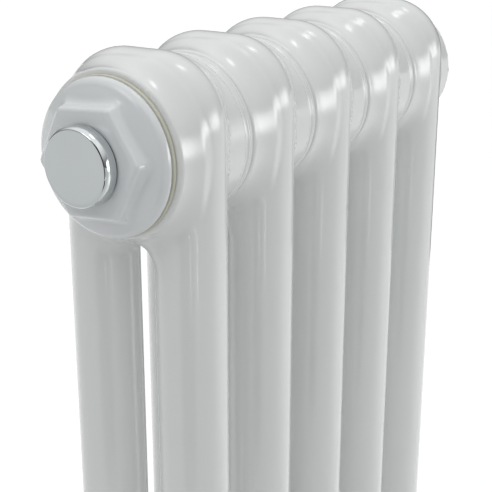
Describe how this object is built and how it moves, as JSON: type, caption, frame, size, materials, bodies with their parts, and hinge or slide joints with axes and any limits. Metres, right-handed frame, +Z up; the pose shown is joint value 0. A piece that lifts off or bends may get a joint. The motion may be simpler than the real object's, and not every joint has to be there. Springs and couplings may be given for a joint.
{
  "type": "column radiator",
  "caption": "Welded steel column radiator: two rows of round tubes between pressed heads, flanged hexagon bushes in the hub ends and pull-off chrome caps over the top plugs.",
  "frame": {"origin": "under the middle of the row, at the lowest point of the bottom heads", "axes": "+X along the row from left to right, -Y to the front, +Z up"},
  "size_m": [0.2536, 0.0654, 0.4998],
  "materials": {
    "body_enamel": "gloss white stoved enamel",
    "bush_enamel": "gloss white enamel on a cast and machined bush",
    "gasket": "cream, satin",
    "steel": "turned, uncoated",
    "brass": "turned, uncoated",
    "rubber": "black, matt",
    "chrome": "polished chrome plate"
  },
  "bodies": {
    "radiator": {"head_top_1": "body_enamel", "head_top_2": "body_enamel", "head_top_3": "body_enamel", "head_top_4": "body_enamel", "head_top_5": "body_enamel", "head_bottom_1": "body_enamel", "head_bottom_2": "body_enamel", "head_bottom_3": "body_enamel", "head_bottom_4": "body_enamel", "head_bottom_5": "body_enamel", "tube_front_1": "body_enamel", "tube_front_2": "body_enamel", "tube_front_3": "body_enamel", "tube_front_4": "body_enamel", "tube_front_5": "body_enamel", "tube_rear_1": "body_enamel", "tube_rear_2": "body_enamel", "tube_rear_3": "body_enamel", "tube_rear_4": "body_enamel", "tube_rear_5": "body_enamel", "weld_ring_top_1": "body_enamel", "weld_ring_top_2": "body_enamel", "weld_ring_top_3": "body_enamel", "weld_ring_top_4": "body_enamel", "weld_ring_bottom_1": "body_enamel", "weld_ring_bottom_2": "body_enamel", "weld_ring_bottom_3": "body_enamel", "weld_ring_bottom_4": "body_enamel", "boss_top_left": "steel", "boss_top_right": "steel", "boss_bottom_left": "steel", "boss_bottom_right": "steel", "gasket_top_left": "gasket", "gasket_top_right": "gasket", "gasket_bottom_left": "gasket", "gasket_bottom_right": "gasket", "bush_top_left": "bush_enamel", "bush_top_right": "bush_enamel", "bush_bottom_left": "bush_enamel", "bush_bottom_right": "bush_enamel", "plug_washer_top_left": "rubber", "plug_washer_top_right": "rubber", "vent_plug_top_left": "brass", "blank_plug_top_right": "brass"},
    "cap_left": {"cap_top_left": "chrome"},
    "cap_right": {"cap_top_right": "chrome"},
    "bleed_screw": {"bleed_screw_top_left": "brass"}
  },
  "joints": [
    {"name": "cap_left_pull", "type": "slide", "parent": "radiator", "child": "cap_left", "axis": [-1, 0, 0], "range_m": [0, 0.02]},
    {"name": "cap_right_pull", "type": "slide", "parent": "radiator", "child": "cap_right", "axis": [1, 0, 0], "range_m": [0, 0.02]},
    {"name": "bleed_screw_turn", "type": "hinge", "parent": "radiator", "child": "bleed_screw", "pos_m": [-0.1207, 0, 0.4653], "axis": [-1, 0, 0], "range_deg": [0, 540]}
  ]
}
